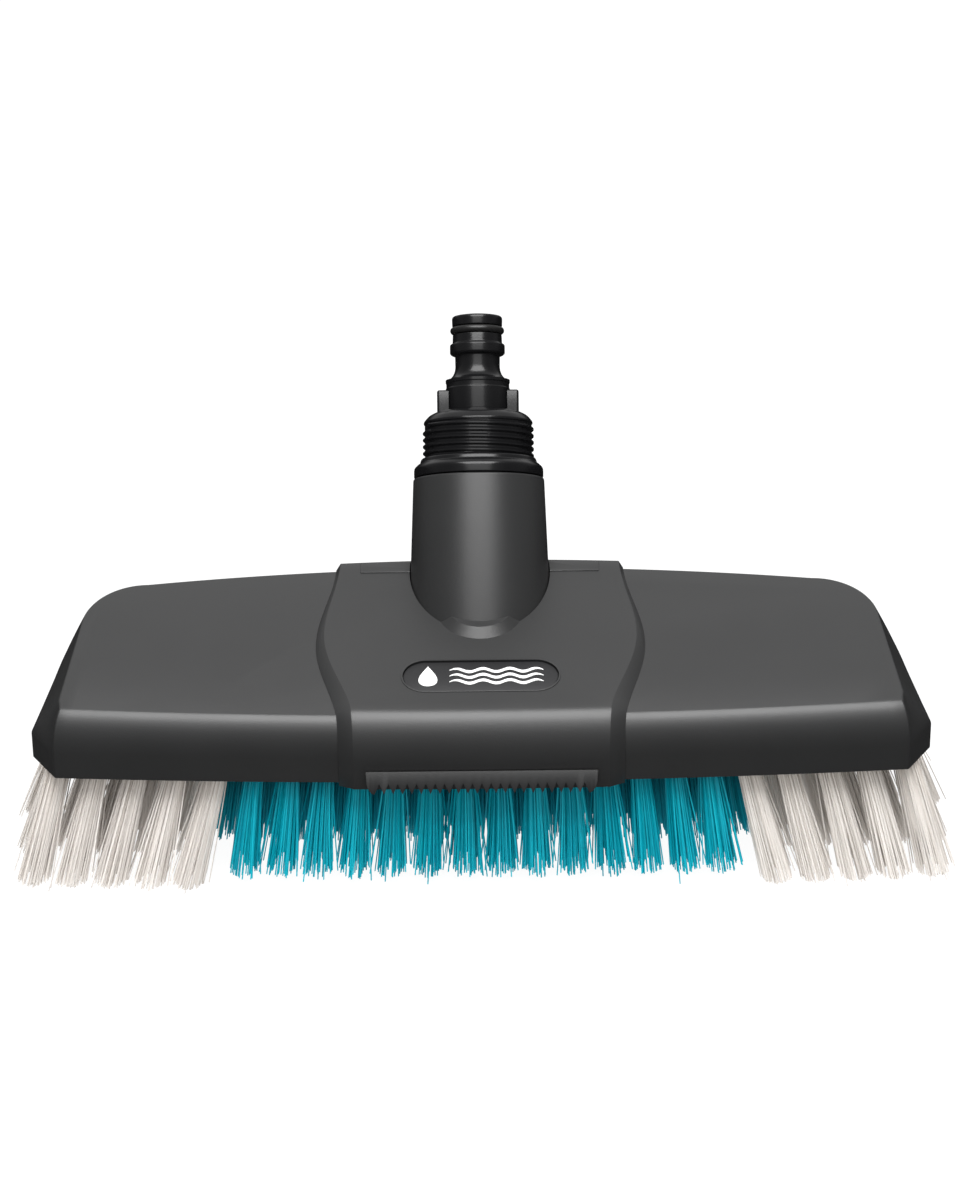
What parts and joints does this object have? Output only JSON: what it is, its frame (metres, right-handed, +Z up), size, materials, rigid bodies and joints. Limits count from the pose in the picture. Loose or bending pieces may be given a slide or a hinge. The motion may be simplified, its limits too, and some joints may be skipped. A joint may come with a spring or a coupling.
{
  "type": "water-fed wash brush head",
  "caption": "Wide wash brush head with a click hose nipple on a leaning threaded handle socket, a toothed scraper strip and teal bristle tufts between off-white end tufts.",
  "frame": {"origin": "centre of the overall box in X and Y, on the plane the end bristle tips stand on", "axes": "+X to the right along the head, +Y to the back where the handle socket leans, +Z up from the bristle tips to the hose nipple"},
  "size_m": [0.2944, 0.1276, 0.1429],
  "materials": {
    "moulded_grey": "fine satin moulded plastic",
    "moulded_dark": "satin moulded plastic",
    "moulded_black": "glossy moulded plastic",
    "seal_rubber": "smooth rubber",
    "screw_steel": "bright steel",
    "teal_bristle": "translucent drawn filament",
    "white_bristle": "soft drawn filament"
  },
  "bodies": {
    "root": {"housing_shell": "moulded_grey", "center_cover": "moulded_grey", "handle_socket": "moulded_grey", "scraper_blade": "moulded_grey", "badge_plate": "moulded_dark", "channel_lid": "moulded_dark", "threaded_collar": "moulded_black", "quick_connect_nipple": "moulded_black", "brush_block": "moulded_black", "water_duct": "moulded_black", "nipple_o_ring": "seal_rubber", "duct_seal": "seal_rubber", "block_screw_1": "screw_steel", "block_screw_2": "screw_steel", "block_screw_3": "screw_steel", "block_screw_4": "screw_steel", "block_screw_5": "screw_steel", "block_screw_6": "screw_steel", "block_screw_7": "screw_steel", "block_screw_8": "screw_steel", "socket_screw_1": "screw_steel", "socket_screw_2": "screw_steel", "socket_screw_3": "screw_steel", "socket_screw_4": "screw_steel", "bristle_row_1_white_left": "white_bristle", "bristle_row_1_teal": "teal_bristle", "bristle_row_1_white_right": "white_bristle", "bristle_row_2_white_left": "white_bristle", "bristle_row_2_teal": "teal_bristle", "bristle_row_2_white_right": "white_bristle", "bristle_row_3_white_left": "white_bristle", "bristle_row_3_teal": "teal_bristle", "bristle_row_3_white_right": "white_bristle", "bristle_row_4_white_left": "white_bristle", "bristle_row_4_teal": "teal_bristle", "bristle_row_4_white_right": "white_bristle"}
  },
  "joints": []
}
